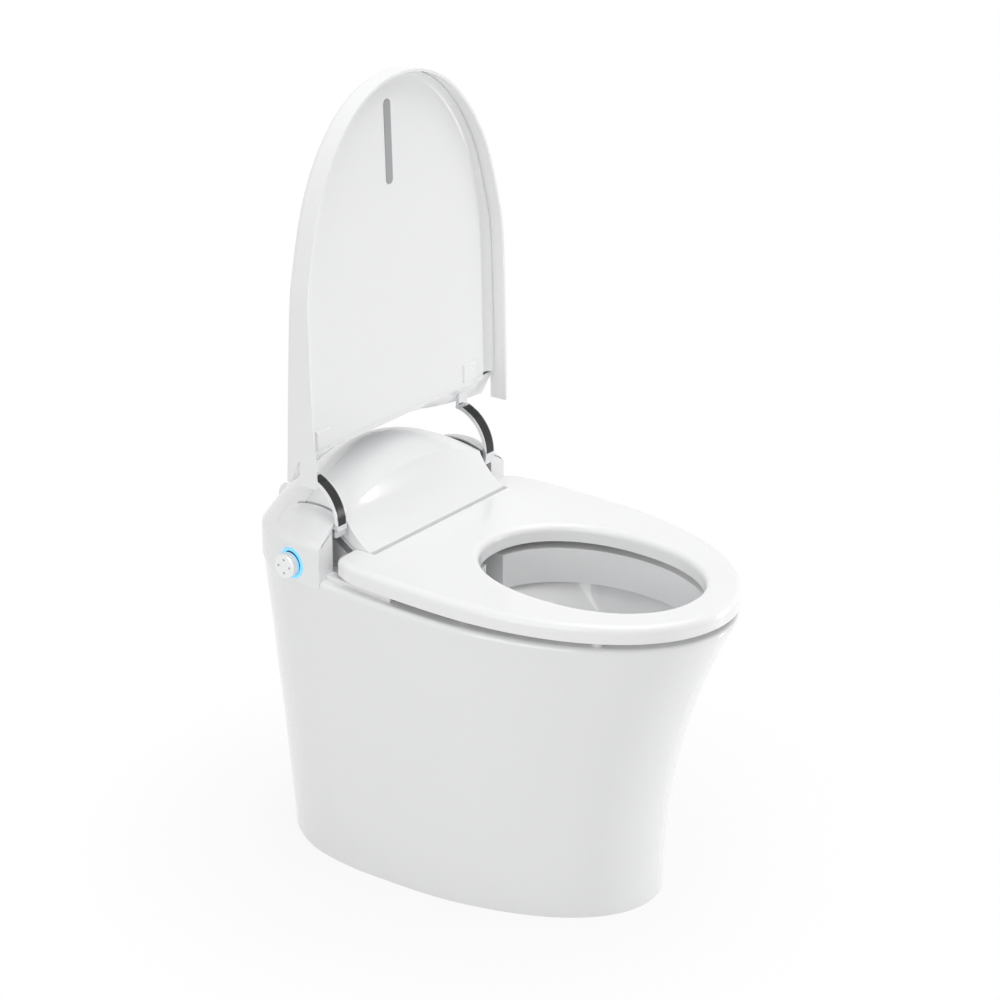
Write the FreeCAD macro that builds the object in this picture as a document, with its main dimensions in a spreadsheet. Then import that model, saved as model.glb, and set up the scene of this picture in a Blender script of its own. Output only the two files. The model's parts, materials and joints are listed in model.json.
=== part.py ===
"""One-piece smart toilet with a heated seat, a full-cover lid and a washing nozzle.

Millimetres. +Z is up, -Y is the front, and the origin is the centre of the floor
outlet at floor level, which is the point a toilet is set out from. The lid is
modelled shut and then turned to its open stop; the seat is modelled down.
"""
import FreeCAD, Part
import math
import os

Vec = FreeCAD.Vector
doc = FreeCAD.newDocument("SmartToilet")
sheet = doc.addObject("Spreadsheet::Sheet", "Dims")

DIMENSIONS = [
    # ceramic body
    ("foot_half_width", 161), ("foot_front", 261), ("foot_rear_centre", 85), ("foot_rear_reach", 185),
    ("foot_centre", 55), ("rim_half_width", 190), ("rim_front", 361), ("rim_centre", -15),
    ("rim_height", 398), ("rim_edge_radius", 8), ("back_half_width", 184), ("back_centre", 117),
    ("back_reach", 172), ("back_power", 2.3), ("back_flat", 281), ("wall_thickness", 12), ("deck_thickness", 17),
    ("flare_power", 2.2), ("oval_power", 2.05),
    # bowl, trapway and outlet
    ("bowl_centre", -166), ("throat_half_width", 110), ("throat_half_length", 150),
    ("throat_height", 352), ("bowl_wall", 10), ("trap_bore_radius", 26), ("trap_wall", 8),
    ("trap_bend_radius", 38), ("trap_start_height", 145), ("trap_apex_height", 262),
    # seat
    ("seat_half_width", 183.5), ("seat_centre", -55), ("seat_reach", 304), ("seat_underside", 408),
    ("seat_top", 430), ("seat_edge_radius", 9), ("seat_back", 70), ("seat_horn_back", 98),
    ("hole_half_width", 106), ("hole_half_length", 147), ("hole_lip_radius", 9), ("seat_split", 415),
    # lid, in its shut position
    ("lid_half_width", 189.5), ("lid_centre", -80), ("lid_reach", 291), ("lid_skin", 3.2),
    ("lid_free_edge", 409.6), ("lid_panel", 435), ("lid_open_angle", 91.7), ("lid_edge_radius", 9), ("lid_back", 71),
    # hinge
    ("pivot_behind_outlet", 160), ("pivot_height", 464), ("slot_inner", 133.5), ("slot_outer", 157.5), ("slot_behind_pivot", 24),
    ("strap_inner", 138), ("strap_outer", 155), ("strap_radius", 57), ("strap_thickness", 4.5),
    ("hub_radius", 6.5), ("pin_radius", 3), ("pin_clearance", 0.06), ("seat_arm_inner", 134.2),
    ("seat_arm_outer", 137.4), ("damper_radius", 9), ("damper_length", 62),
    # rear housing
    ("housing_skin", 3), ("crease_height", 499), ("crown_height", 517.5), ("crown_y", 172), ("ear_front", 110),
    ("shoulder_height", 441), ("back_shoulder_height", 418), ("back_crown_height", 446), ("hump_base_y", 70.8),
    ("chassis_top", 404), ("chassis_front", 5),
    ("housing_edge_radius", 7), ("housing_foot", 389), ("lap_depth", 3.3), ("hump_hollow", 8.5),
    # nozzle
    ("nozzle_radius", 7.5), ("nozzle_length", 150), ("nozzle_tilt", 20), ("nozzle_tip_y", 40),
    ("nozzle_tip_height", 386), ("nozzle_travel", 100), ("nozzle_gap", 0.4),
    # side knob
    ("knob_y", 156), ("knob_height", 411), ("knob_radius", 15.5), ("knob_length", 10.8),
    ("light_ring_radius", 19.5), ("light_ring_proud", 1), ("knob_shaft_radius", 3),
    # services
    ("inlet_radius", 10.5), ("inlet_length", 18), ("bolt_radius", 4), ("lamp_half_length", 53),
    ("lamp_half_width", 6.2),
]
for row, (name, value) in enumerate(DIMENSIONS, start=1):
    sheet.set(f"A{row}", name)
    sheet.set(f"B{row}", str(value))
    sheet.setAlias(f"B{row}", name)
doc.recompute()


def dim(name):
    return float(sheet.get(name))


SUBPARTS = []


def keep(item, label):
    """Name a finished sub-part and put it on the list of files to write."""
    item.Label = label
    SUBPARTS.append(item)
    return item


def free_form(label, shape, placement=None):
    """A sub-part whose surfaces are lofted or trimmed in code."""
    item = doc.addObject("Part::Feature", label)
    item.Shape = shape
    if placement is not None:
        item.Placement = placement
    return keep(item, label)


# ---------------------------------------------------------------- outlines
def oval(front, rear, z, inset=0.0, steps=6):
    """Closed smooth curve at height z, made of a front and a rear half oval.

    Each half is (half width, centre y, reach, power), a superellipse quarter each side.
    """
    def quarter(half, towards, angles):
        width, centre, reach, power = half
        width, reach = width - inset, reach - inset
        return [(width * math.sin(a) ** (2 / power), centre + towards * reach * math.cos(a) ** (2 / power))
                for a in angles]
    rising = [math.pi / 2 * k / steps for k in range(steps)]
    falling = [math.pi / 2 * (steps - k) / steps for k in range(steps)]
    right = quarter(front, -1, rising + [math.pi / 2])
    right += quarter(rear, 1, falling[1:] if front[1] == rear[1] else falling)
    tip = (0.0, rear[1] + rear[2] - inset)
    left = [(-x, y) for x, y in reversed(right[1:])]
    points = [Vec(x, y, z) for x, y in right + [tip] + left]
    straight = [] if front[1] == rear[1] else [1.0]
    half_turn = [1.0] * steps + straight + [0.75 if straight else 1.0] * steps
    knots = [0.0]
    for step in half_turn + half_turn[::-1]:
        knots.append(knots[-1] + step)
    curve = Part.BSplineCurve()
    curve.interpolate(Points=points, PeriodicFlag=True, Parameters=knots)
    return Part.Wire(curve.toShape())


def loft(wires, ruled=False):
    return Part.makeLoft(wires, True, ruled)


def slab(front, rear, low, high, inset=0.0):
    """A straight-walled solid of one outline."""
    return Part.Face(oval(front, rear, low, inset)).extrude(Vec(0, 0, high - low))


def box(x0, x1, y0, y1, z0, z1):
    return Part.makeBox(x1 - x0, y1 - y0, z1 - z0, Vec(x0, y0, z0))


def both_sides(make):
    """Join a right-hand solid and its mirror image."""
    right = make()
    return Part.makeCompound([right, right.mirror(Vec(0, 0, 0), Vec(1, 0, 0))])


def round_edges(solid, radius, wanted):
    """Fillet the edges that the wanted test picks."""
    edges = [edge for edge in solid.Edges if wanted(edge)]
    return solid.makeFillet(radius, edges)


def at_height(z, longest=0.0):
    return lambda edge: (abs(edge.BoundBox.ZMin - z) < 0.05 and abs(edge.BoundBox.ZMax - z) < 0.05
                         and edge.Length > longest)


def tube_along(path, radius):
    """A round bar along a wire that starts at its first vertex."""
    start = path.Edges[0].firstVertex().Point if path.Edges[0].Orientation == "Forward" else None
    start = start or path.OrderedVertexes[0].Point
    tangent = path.Edges[0].tangentAt(path.Edges[0].FirstParameter)
    ring = Part.Wire(Part.makeCircle(radius, start, tangent))
    return path.makePipeShell([ring], True, True)


def rounded_path(points, radius):
    """Straight runs in the YZ plane joined by tangent arcs of one radius."""
    runs = []
    last = points[0]
    for before, corner, after in zip(points, points[1:], points[2:]):
        into = (corner - before).normalize()
        out = (after - corner).normalize()
        half_turn = into.getAngle(out) / 2
        back = radius * math.tan(half_turn)
        start, end = corner - into * back, corner + out * back
        middle = corner + (out - into).normalize() * (radius / math.cos(half_turn) - radius)
        runs.append(Part.LineSegment(last, start).toShape())
        runs.append(Part.Arc(start, middle, end).toShape())
        last = end
    runs.append(Part.LineSegment(last, points[-1]).toShape())
    return Part.Wire(runs)


# ---------------------------------------------------------------- ceramic body
def body_halves(z):
    """Front and rear half ovals of the skirt at height z: a flared pedestal."""
    up = max(z, 0.0) / dim("rim_height")
    flare = up ** dim("flare_power")
    widen = up ** 1.3
    front_centre = dim("foot_centre") + (dim("rim_centre") - dim("foot_centre")) * up ** 1.5
    nose = dim("foot_front") + (dim("rim_front") - dim("foot_front")) * flare
    front_width = dim("foot_half_width") + (dim("rim_half_width") - dim("foot_half_width")) * widen
    rear_width = dim("foot_half_width") + (dim("back_half_width") - dim("foot_half_width")) * widen
    rear_centre = dim("foot_rear_centre") + (dim("back_centre") - dim("foot_rear_centre")) * up
    rear_reach = dim("foot_rear_reach") + (dim("back_reach") - dim("foot_rear_reach")) * up
    rear_power = dim("oval_power") + (dim("back_power") - dim("oval_power")) * up
    return ((front_width, front_centre, nose + front_centre, dim("oval_power")),
            (rear_width, rear_centre, rear_reach, rear_power))


def body_wire(z, inset=0.0, level=None):
    front, rear = body_halves(z)
    return oval(front, rear, z if level is None else level, inset)


PUMP_PORT = (-38, 22, 172, 232)
BOWL_SECTIONS = [
    # height, half width, half length, centre y of the inside of the bowl
    (352, 120, 160, -166), (300, 106, 116, -178), (255, 84, 80, -190),
    (205, 56, 51, -195), (160, 38, 37, -195), (124, 24, 24, -192),
]


def bowl_solid(grow):
    wires = []
    for z, half_width, half_length, centre in BOWL_SECTIONS:
        half = (half_width + grow, centre, half_length + grow, 2.0)
        low = z - (grow if z == BOWL_SECTIONS[-1][0] else 0)
        wires.append(oval(half, half, low))
    return loft(wires)


def trap_path():
    start_z, apex_z = dim("trap_start_height"), dim("trap_apex_height")
    points = [Vec(0, -192, start_z), Vec(0, -120, start_z), Vec(0, -62, apex_z), Vec(0, 0, apex_z), Vec(0, 0, 0)]
    return rounded_path(points, dim("trap_bend_radius"))


def nozzle_axis(y):
    """Height of the nozzle's centre line at y."""
    return dim("nozzle_tip_height") + (y - dim("nozzle_tip_y")) * math.tan(math.radians(dim("nozzle_tilt")))


def nozzle_channel():
    """The trough in the deck that the nozzle runs out through."""
    half, y0, y1 = 17, -40, 112
    drop = dim("nozzle_radius") + 5
    profile = [Vec(-half, y0, nozzle_axis(y0) - drop), Vec(-half, y1, nozzle_axis(y1) - drop),
               Vec(-half, y1, 410), Vec(-half, y0, 410)]
    return Part.Face(Part.makePolygon(profile + profile[:1])).extrude(Vec(2 * half, 0, 0))


def housing_rebate():
    """The step in the back edge of the deck that the housing laps over."""
    rear = body_halves(dim("rim_height"))[1]
    front = (rear[0], rear[1], 130, 3)
    low, high = dim("housing_foot") - 0.2, dim("rim_height") + 5
    step = slab((front[0] + 15, front[1], 130, 3), (rear[0] + 15, rear[1], rear[2] + 15, rear[3]), low, high)
    step = step.cut(slab(front, rear, low - 1, high + 1, dim("lap_depth")))
    step = step.common(box(-300, 300, dim("ear_front") - 0.2, dim("back_flat") - dim("lap_depth"), low, high))
    tail = box(-300, 300, dim("back_flat") - dim("lap_depth"), 400, low, high)
    return step.fuse(tail)


def ceramic_body():
    top = dim("rim_height")
    radius = dim("rim_edge_radius")
    skirt = [body_wire(z) for z in (0, 60, 125, 190, 255, 315, 365, top - radius - 6)]
    rim = [body_wire(top - radius + radius * math.sin(turn), radius * (1 - math.cos(turn)))
           for turn in (0, math.radians(35), math.radians(65), math.pi / 2)]
    outer = loft(skirt + rim)
    outer = outer.cut(box(-300, 300, dim("back_flat"), 400, -5, top + 5))
    wall = dim("wall_thickness")
    void_top = top - dim("deck_thickness")
    inner_levels = [0, 60, 125, 190, 255, 315, void_top]
    void = loft([body_wire(0, wall, -5)] + [body_wire(z, wall) for z in inner_levels])
    void = void.cut(box(-300, 300, dim("back_flat") - wall, 400, -5, top + 5))
    bowl_outside = bowl_solid(dim("bowl_wall"))
    collar = slab((dim("throat_half_width") + 20, dim("bowl_centre"), dim("throat_half_length") + 20, 2.0),
                  (dim("throat_half_width") + 20, dim("bowl_centre"), dim("throat_half_length") + 20, 2.0),
                  dim("throat_height") - 0.5, top)
    shelf = box(-27, 27, -30, 122, 342, top)
    path = trap_path()
    trap_outside = tube_along(path, dim("trap_bore_radius") + dim("trap_wall"))
    trap_inside = tube_along(path, dim("trap_bore_radius"))
    void = void.cut(bowl_outside.fuse([collar, shelf, trap_outside]))
    body = outer.cut(void)
    half = (dim("throat_half_width"), dim("bowl_centre"), dim("throat_half_length"), 2.0)
    throat = slab(half, half, dim("throat_height") - 1, top + 5)
    body = body.cut(bowl_solid(0).fuse([throat]))
    body = body.cut(trap_inside)
    body = body.cut(nozzle_channel())
    body = body.cut(box(*PUMP_PORT, void_top - 5, top + 5))
    body = body.cut(housing_rebate())
    for side in (-1, 1):
        body = body.cut(Part.makeCylinder(dim("bolt_radius") + 1, 60, Vec(side * 110, 200, void_top - 20)))
    return body.removeSplitter()


free_form("ceramic_body", ceramic_body())


def outlet_seal():
    """Soft ring between the outlet and the floor drain."""
    item = doc.addObject("Part::Cut", "outlet_seal")
    ring = doc.addObject("Part::Cylinder", "seal_outside")
    ring.setExpression("Radius", "Dims.trap_bore_radius + Dims.trap_wall + 12")
    ring.Height = 22
    hole = doc.addObject("Part::Cylinder", "seal_inside")
    hole.setExpression("Radius", "Dims.trap_bore_radius + Dims.trap_wall + 0.05")
    hole.Height = 30
    hole.Placement.Base = Vec(0, 0, -4)
    item.Base, item.Tool = ring, hole
    return keep(item, "outlet_seal")


outlet_seal()


# ---------------------------------------------------------------- rear housing
def wall_x(y):
    """Distance of the housing wall from the middle plane at y."""
    rear = body_halves(dim("rim_height"))[1]
    share = abs(y - rear[1]) / rear[2]
    return rear[0] * (1 - share ** rear[3]) ** (1 / rear[3])


def roof(x, y):
    """Height of the housing top: a dome from the wall's shoulder up to the middle plane."""
    run = y - dim("ear_front")
    rise = dim("crown_height") - dim("crease_height")
    if y < dim("crown_y"):
        middle = dim("crease_height") + rise * math.sin(math.pi / 2 * run / (dim("crown_y") - dim("ear_front")))
    else:
        fall = math.cos(math.pi / 2 * min((y - dim("crown_y")) / (dim("back_flat") - dim("crown_y")), 1)) ** 1.2
        middle = dim("back_crown_height") + (dim("crown_height") - dim("back_crown_height")) * fall
    sink = dim("shoulder_height") - dim("back_shoulder_height")
    shoulder = dim("shoulder_height") - sink * (run / (dim("back_flat") - dim("ear_front"))) ** 2
    return shoulder + (middle - shoulder) * (1 - (x / wall_x(y)) ** 2)


def crease(x):
    """Height of the line where the shut lid ends and the housing top begins."""
    return roof(x, dim("ear_front"))


def roof_wire(y, drop):
    """Section of the space under the housing top, from below the rim up to the top surface."""
    half, steps, low = wall_x(y) + 12, 8, dim("housing_foot") - 60
    curve = Part.BSplineCurve()
    curve.interpolate([Vec(half * k / steps, y, roof(half * k / steps, y) - drop) for k in range(-steps, steps + 1)])
    left, right = curve.StartPoint, curve.EndPoint
    floor = [right, Vec(half, y, low), Vec(-half, y, low), left]
    return Part.Wire([curve.toShape()] + [Part.LineSegment(p, q).toShape() for p, q in zip(floor, floor[1:])])


def under_roof(drop):
    """The space under the domed top; drop lowers it to give the inside."""
    return loft([roof_wire(y, drop) for y in (dim("ear_front"), 125, 145, 172, 195, 220, 245, 265, 283)])


def housing_block(inset):
    """Rear housing as one block: the rim outline under the domed top, edges rounded."""
    rear = body_halves(dim("rim_height"))[1]
    front = (rear[0], rear[1], 130, 3)
    low = dim("housing_foot") - (2 if inset else 0)
    wall = slab(front, rear, low, 560, inset)
    wall = wall.cut(box(-300, 300, dim("back_flat") - inset, 400, 0, 600))
    wall = wall.cut(box(-300, 300, -500, dim("ear_front") + inset, 0, 600))
    block = wall.common(under_roof(inset))
    top_edges = [edge for edge in block.Edges if edge.BoundBox.ZMin > dim("chassis_top")
                 and edge.BoundBox.YMax > dim("ear_front") + 20]
    return block.makeFillet(dim("housing_edge_radius") - inset, top_edges)


def rear_cover():
    low = dim("housing_foot")
    skin = dim("housing_skin")
    inner, outer = dim("slot_inner"), dim("slot_outer")
    hollow = housing_block(skin)
    slot_back = dim("pivot_behind_outlet") + dim("slot_behind_pivot")
    for side in (-1, 1):
        x0, x1 = sorted((side * outer, side * (outer + skin)))
        hollow = hollow.cut(box(x0, x1, 0, slot_back + skin, low - 5, 600))
    shell = housing_block(0).cut(hollow)
    shell = shell.cut(box(-inner, inner, -500, dim("crown_y"), low - 5, 600))
    rear = body_halves(dim("rim_height"))[1]
    front = (rear[0], rear[1], 130, 3)
    shell = shell.cut(slab(front, rear, low - 5, dim("rim_height") + 0.1, skin))
    shell = shell.cut(slab(front, rear, low - 5, dim("chassis_top") + 0.1, 13.4))
    for side in (-1, 1):
        x0, x1 = sorted((side * inner, side * outer))
        shell = shell.cut(box(x0, x1, 0, slot_back, low - 5, 600))
        x0, x1 = sorted((side * inner, side * (outer + skin + 0.1)))
        shell = shell.cut(box(x0, x1, 150, slot_back + skin + 0.1, low - 5, dim("chassis_top") + 0.1))
    knob_hole = Part.makeCylinder(dim("light_ring_radius") + 0.3, 70,
                                  Vec(-240, dim("knob_y"), dim("knob_height")), Vec(1, 0, 0))
    return shell.cut(knob_hole)


def hump_side(x, inset):
    """Side view of the nozzle cover at x: foot, hollow sweep up to the crease, then the domed top."""
    low = dim("chassis_top") + 0.2 - (2 if inset else 0)
    end = dim("crown_y") - 0.3 + (2 if inset else 0)
    drop = inset * 1.3
    foot = Vec(x, dim("hump_base_y") + inset, dim("seat_top") - inset * 0.6)
    corner = Vec(x, dim("ear_front"), crease(x) - drop)
    chord = (corner - foot).normalize()
    middle = (foot + corner) * 0.5 + Vec(0, chord.z, -chord.y) * (dim("hump_hollow") * (corner.z - foot.z) / 69)
    heel, back = Vec(x, foot.y, low), Vec(x, end, low)
    top = Part.BSplineCurve()
    stations = [dim("ear_front") + (end - dim("ear_front")) * k / 4 for k in range(5)]
    top.interpolate([Vec(x, y, roof(x, y) - drop) for y in stations])
    return Part.Wire([Part.LineSegment(back, heel).toShape(), Part.LineSegment(heel, foot).toShape(),
                      Part.Arc(foot, middle, corner).toShape(), top.toShape(),
                      Part.LineSegment(top.EndPoint, back).toShape()])


def hump_block(inset):
    """Space of the nozzle cover, lofted across from side to side."""
    half = dim("slot_inner") - 0.5 - inset
    return loft([hump_side(half * k / 4, inset) for k in range(-4, 5)])


def nozzle_cover():
    pin_hole = Part.makeCylinder(dim("pin_radius") + 0.5, 320, Vec(-160, dim("pivot_behind_outlet"),
                                 dim("pivot_height")), Vec(1, 0, 0))
    nozzle_gate = box(-12, 12, dim("hump_base_y") - 5, dim("hump_base_y") + 12, dim("chassis_top") - 5, dim("chassis_top") + 3.6)
    return hump_block(0).cut(hump_block(dim("housing_skin"))).cut(pin_hole).cut(nozzle_gate)


def chassis():
    """Moulded plate that everything behind the seat is screwed to."""
    top = dim("chassis_top")
    front, rear = body_halves(dim("rim_height"))
    low = dim("rim_height")
    plate = slab(front, rear, low, top, 14).cut(box(-300, 300, -500, dim("chassis_front"), 0, 600))
    plate = plate.cut(box(-300, 300, dim("back_flat") - 5, 400, 0, 600))
    behind = slab(front, rear, low, top, dim("lap_depth") + 0.1)
    ear_inside = dim("ear_front") + dim("housing_skin") + 0.2
    plate = plate.fuse(behind.common(box(-300, 300, ear_inside, dim("back_flat") - 5, 0, 600)))
    hole = (dim("throat_half_width"), dim("bowl_centre"), dim("throat_half_length") + 12, 2.0)
    plate = plate.cut(slab(hole, hole, low - 1, top + 1))
    plate = plate.cut(box(-18, 18, -100, 128, low - 1, top + 1))
    plate = plate.cut(box(*PUMP_PORT, low - 1, top + 1))
    slot_back = dim("pivot_behind_outlet") + dim("slot_behind_pivot")
    pocket = (dim("slot_inner"), dim("slot_outer") + 0.5, 95, slot_back, low - 1, top + 1)
    for side in (-1, 1):
        x0, x1 = sorted((side * pocket[0], side * pocket[1]))
        plate = plate.cut(box(x0, x1, *pocket[2:]))
        plate = plate.cut(Part.makeCylinder(dim("bolt_radius") + 0.5, 30, Vec(side * 110, 200, low - 5)))
    return plate.removeSplitter()


free_form("rear_cover", rear_cover())
free_form("nozzle_cover", nozzle_cover())
free_form("chassis_plate", chassis())


# ---------------------------------------------------------------- seat
def seat_halves():
    front = (dim("seat_half_width"), dim("seat_centre"), dim("seat_reach"), 2.1)
    rear = (dim("seat_half_width"), dim("seat_centre"), 190, 4.5)
    return front, rear


def seat_blank():
    """The whole ring: outline, back notch between the horns, hole and rounded lips."""
    low, high = dim("seat_underside"), dim("seat_top")
    blank = slab(*seat_halves(), low, high).cut(box(-300, 300, dim("seat_horn_back"), 400, 0, 600))
    notch = dim("seat_arm_inner") - 0.8
    blank = blank.cut(box(-notch, notch, dim("seat_back"), 400, 0, 600))
    upright = [edge for edge in blank.Edges
               if abs(edge.BoundBox.ZLength - (high - low)) < 0.1 and edge.BoundBox.XLength < 0.1
               and abs(edge.BoundBox.XMin) > notch + 10]
    blank = blank.makeFillet(14, upright)
    blank = round_edges(blank, dim("seat_edge_radius"), lambda e: at_height(high)(e) and (
        e.BoundBox.XLength > 250 or abs(e.BoundBox.Center.x) > notch + 15))
    half = (dim("hole_half_width"), dim("bowl_centre"), dim("hole_half_length"), 2.15)
    hole = slab(half, half, low - 5, high + 5)
    blank = blank.cut(hole)
    return round_edges(blank, dim("hole_lip_radius"), lambda e: at_height(high)(e)
                       and e.BoundBox.YMax < 0 and e.BoundBox.YMin > -340)


def seat_channel():
    """Space for the heater inside the seat."""
    low, high = dim("seat_split") - 3, dim("seat_top") - 5
    front, rear = seat_halves()
    ring = slab(front, rear, low, high, 14).cut(box(-300, 300, dim("seat_back") - 12, 400, 0, 600))
    half = (dim("hole_half_width") + 12, dim("bowl_centre"), dim("hole_half_length") + 12, 2.15)
    return ring.cut(slab(half, half, low - 1, high + 1))


SEAT = seat_blank()
seat_parting = box(-300, 300, -500, 300, dim("seat_split"), 600)
free_form("seat_top_shell", SEAT.common(seat_parting).cut(seat_channel()))
free_form("seat_base_shell", SEAT.cut(seat_parting).cut(seat_channel()))


def seat_heater():
    """Flat heating element: two rings of ribbon round the hole, under the top skin."""
    low, high = dim("seat_top") - 7.2, dim("seat_top") - 5.2
    bands = []
    for step in (19, 32, 45):
        half = (dim("hole_half_width") + step, dim("bowl_centre"), dim("hole_half_length") + step, 2.15)
        band = slab(half, half, low, high).cut(slab(half, half, low - 1, high + 1, 6))
        bands.append(band)
    cross = box(-4, 4, dim("bowl_centre") + dim("hole_half_length") + 12,
                dim("bowl_centre") + dim("hole_half_length") + 44, low, high)
    sheet_ring = bands[0].fuse(bands[1:] + [cross])
    front, rear = seat_halves()
    limit = slab(front, rear, low - 1, high + 1, 16).cut(box(-300, 300, dim("seat_back") - 14, 400, 0, 600))
    return sheet_ring.common(limit)


free_form("seat_heater", seat_heater())


def seat_buffers():
    """Four rubber feet that carry the seat on the rim."""
    feet = []
    for x, y in ((118, -262), (156, -95)):
        for side in (-1, 1):
            feet.append(Part.makeCylinder(7, dim("seat_underside") - dim("rim_height"),
                                          Vec(side * x, y, dim("rim_height"))))
    return Part.makeCompound(feet)


free_form("seat_buffers", seat_buffers())


# ---------------------------------------------------------------- lid
def lid_halves():
    return ((dim("lid_half_width"), dim("lid_centre"), dim("lid_reach"), 2.1),
            (dim("lid_half_width"), dim("lid_centre"), 320, 6))


LID_ROOF = [
    # y, height at the centre line, height at the half width
    (150, 503, 461), (60, 493, 453), (-40, 480, 446), (-140, 466, 439), (-240, 453, 433), (-340, 441, 429),
    (-420, 431, 426),
]


def lid_under(lower):
    """Everything below the crowned roof of the lid."""
    wires = []
    for y, centre_z, edge_z in LID_ROOF:
        reach = dim("lid_half_width") + 20
        drop = (centre_z - edge_z) * (reach / dim("lid_half_width")) ** 2
        left, right = Vec(-reach, y, centre_z - drop - lower), Vec(reach, y, centre_z - drop - lower)
        floor_left, floor_right = Vec(-reach, y, 380), Vec(reach, y, 380)
        wires.append(Part.Wire([Part.Arc(left, Vec(0, y, centre_z - lower), right).toShape(),
                                Part.LineSegment(right, floor_right).toShape(),
                                Part.LineSegment(floor_right, floor_left).toShape(),
                                Part.LineSegment(floor_left, left).toShape()]))
    return loft(wires)


def behind_lid(ahead):
    """Space behind the lid's body: a slanted face that leans back like the housing's front face."""
    wires = []
    foot_z, ceiling = dim("lid_panel") - 1, 560
    for k in range(-4, 5):
        x = 50.0 * k
        lean = (dim("ear_front") - 6 - dim("lid_back")) / (max(crease(x), foot_z + 16) - foot_z)
        foot_y = dim("lid_back") - ahead
        wires.append(Part.makePolygon([Vec(x, foot_y, foot_z), Vec(x, foot_y + lean * (ceiling - foot_z), ceiling),
                                       Vec(x, 420, ceiling), Vec(x, 420, foot_z), Vec(x, foot_y, foot_z)]))
    return loft(wires, ruled=True)


def lid_shell():
    low, skin = dim("lid_free_edge"), dim("lid_skin")
    blank = slab(*lid_halves(), low, 520).common(lid_under(0))
    blank = blank.cut(box(-300, 300, dim("ear_front") - 7, 400, 0, 600)).cut(behind_lid(0))
    roof_edges = [edge for edge in blank.Edges if edge.BoundBox.ZMin > 424 and edge.BoundBox.YLength > 100]
    blank = blank.makeFillet(dim("lid_edge_radius"), roof_edges)
    inside = slab(*lid_halves(), low - 5, 520, skin).common(lid_under(skin))
    above = inside.common(box(-300, 300, -500, 300, dim("lid_panel"), 600)).cut(behind_lid(skin))
    below = inside.common(box(-300, 300, -500, 300, 0, dim("lid_panel")))
    return blank.cut(above).cut(below)


def lid_inner_panel():
    low, skin = dim("lid_panel"), dim("lid_skin")
    plate = slab(*lid_halves(), low - 8, low + 2.6, skin + 0.3)
    plate = plate.cut(box(-300, 300, dim("lid_back") - skin - 1.5, 400, 0, 600))
    tray = slab(*lid_halves(), low - 9, low, skin + 3.2)
    tray = round_edges(tray, 7, at_height(low))
    plate = plate.cut(tray)
    plate = plate.common(lid_under(skin + 0.4))
    slot = lamp_outline(0.15, low - 5, low + 10)
    bosses = both_sides(lambda: box(dim("strap_inner") - 8, dim("strap_outer") + 2, 44, 68, low - 3, low + 1))
    bosses = [round_edges(solid, 2.5, at_height(low - 3)) for solid in bosses.Solids]
    return plate.fuse(bosses).cut(slot)


def lamp_outline(grow, low, high):
    """Capsule-shaped plan of the lamp window near the lid's front."""
    y0 = -281
    half, radius = dim("lamp_half_length") - dim("lamp_half_width"), dim("lamp_half_width") + grow
    bar = box(-radius, radius, y0 - half, y0 + half, low, high)
    ends = [Part.makeCylinder(radius, high - low, Vec(0, y0 + towards * half, low)) for towards in (-1, 1)]
    return bar.fuse(ends).removeSplitter()


PIVOT = Vec(0, dim("pivot_behind_outlet"), dim("pivot_height"))
OPEN = FreeCAD.Placement(Vec(0, 0, 0), FreeCAD.Rotation(Vec(1, 0, 0), -dim("lid_open_angle")), PIVOT)


def opened(shape):
    """A lid piece, modelled shut, turned to the open stop."""
    return shape.transformed(OPEN.toMatrix(), True)


free_form("lid_outer_shell", opened(lid_shell()))
free_form("lid_inner_panel", opened(lid_inner_panel()))
panel_z = dim("lid_panel")
lamp_lens = round_edges(lamp_outline(0, panel_z - 0.8, panel_z + 2.4), 0.6, at_height(panel_z - 0.8))
free_form("lid_lamp_lens", opened(lamp_lens))
free_form("lid_lamp_board", opened(box(-4.5, 4.5, -326, -236, panel_z + 2.6, panel_z + 4.2)))


# ---------------------------------------------------------------- hinge
def ring_sector(inner, outer, low_angle, high_angle, x0, x1):
    """Part of a ring about the hinge axis, angles from +Y towards +Z."""
    def point(radius, angle):
        turn = math.radians(angle)
        return Vec(x0, PIVOT.y + radius * math.cos(turn), PIVOT.z + radius * math.sin(turn))
    middle = (low_angle + high_angle) / 2
    edges = [Part.Arc(point(outer, low_angle), point(outer, middle), point(outer, high_angle)).toShape(),
             Part.LineSegment(point(outer, high_angle), point(inner, high_angle)).toShape(),
             Part.Arc(point(inner, high_angle), point(inner, middle), point(inner, low_angle)).toShape(),
             Part.LineSegment(point(inner, low_angle), point(outer, low_angle)).toShape()]
    return Part.Face(Part.Wire(edges)).extrude(Vec(x1 - x0, 0, 0))


def hub(x0, x1, radius):
    bore = dim("pin_radius") + dim("pin_clearance")
    start = Vec(x0, PIVOT.y, PIVOT.z)
    solid = Part.makeCylinder(radius, x1 - x0, start, Vec(1, 0, 0))
    return solid, Part.makeCylinder(bore, x1 - x0 + 2, start - Vec(1, 0, 0), Vec(1, 0, 0))


def strap(x0, x1):
    """Swan-neck lid arm: hub, spoke, arc and the root that enters the lid."""
    outer = dim("strap_radius")
    inner = outer - dim("strap_thickness")
    neck = ring_sector(inner, outer, 98, 196, x0, x1)
    spoke = box(x0, x1, PIVOT.y, PIVOT.y + inner + 2, PIVOT.z - 4, PIVOT.z + 4)
    spoke.rotate(PIVOT, Vec(1, 0, 0), 193)
    root = box(x0, x1, PIVOT.y - 13, PIVOT.y - 8, PIVOT.z + inner - 1.5, PIVOT.z + 72)
    boss, bore = hub(x0, x1, dim("hub_radius"))
    return neck.fuse([spoke, root, boss]).cut(bore).removeSplitter()


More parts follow.
